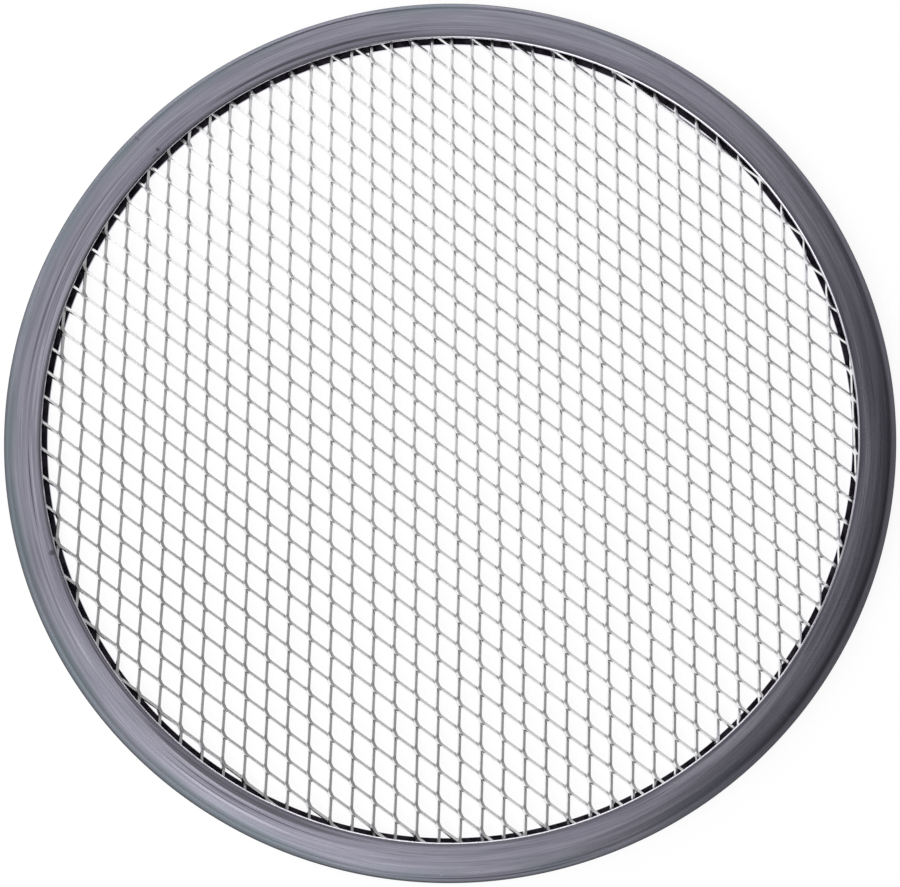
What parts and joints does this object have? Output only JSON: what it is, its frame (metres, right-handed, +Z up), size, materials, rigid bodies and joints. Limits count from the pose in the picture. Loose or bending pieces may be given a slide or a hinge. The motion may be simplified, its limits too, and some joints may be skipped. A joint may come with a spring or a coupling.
{
  "type": "pizza screen",
  "caption": "Round pizza screen: a disc of raised expanded metal mesh whose edge is held in a folded metal rim.",
  "frame": {"origin": "centre of the rim's underside, on the surface that the screen lies on", "axes": "+Z up, out of the side with the narrower flange of the rim; +Y along one of the two directions of the mesh strands"},
  "size_m": [0.3048, 0.3048, 0.0052],
  "materials": {
    "rim_sheet": "satin, with rolling streaks that run round the rim",
    "mesh_sheet": "satin, brighter where the strands are stretched and joined"
  },
  "bodies": {
    "root": {"rim": "rim_sheet", "expanded_mesh": "mesh_sheet"}
  },
  "joints": []
}
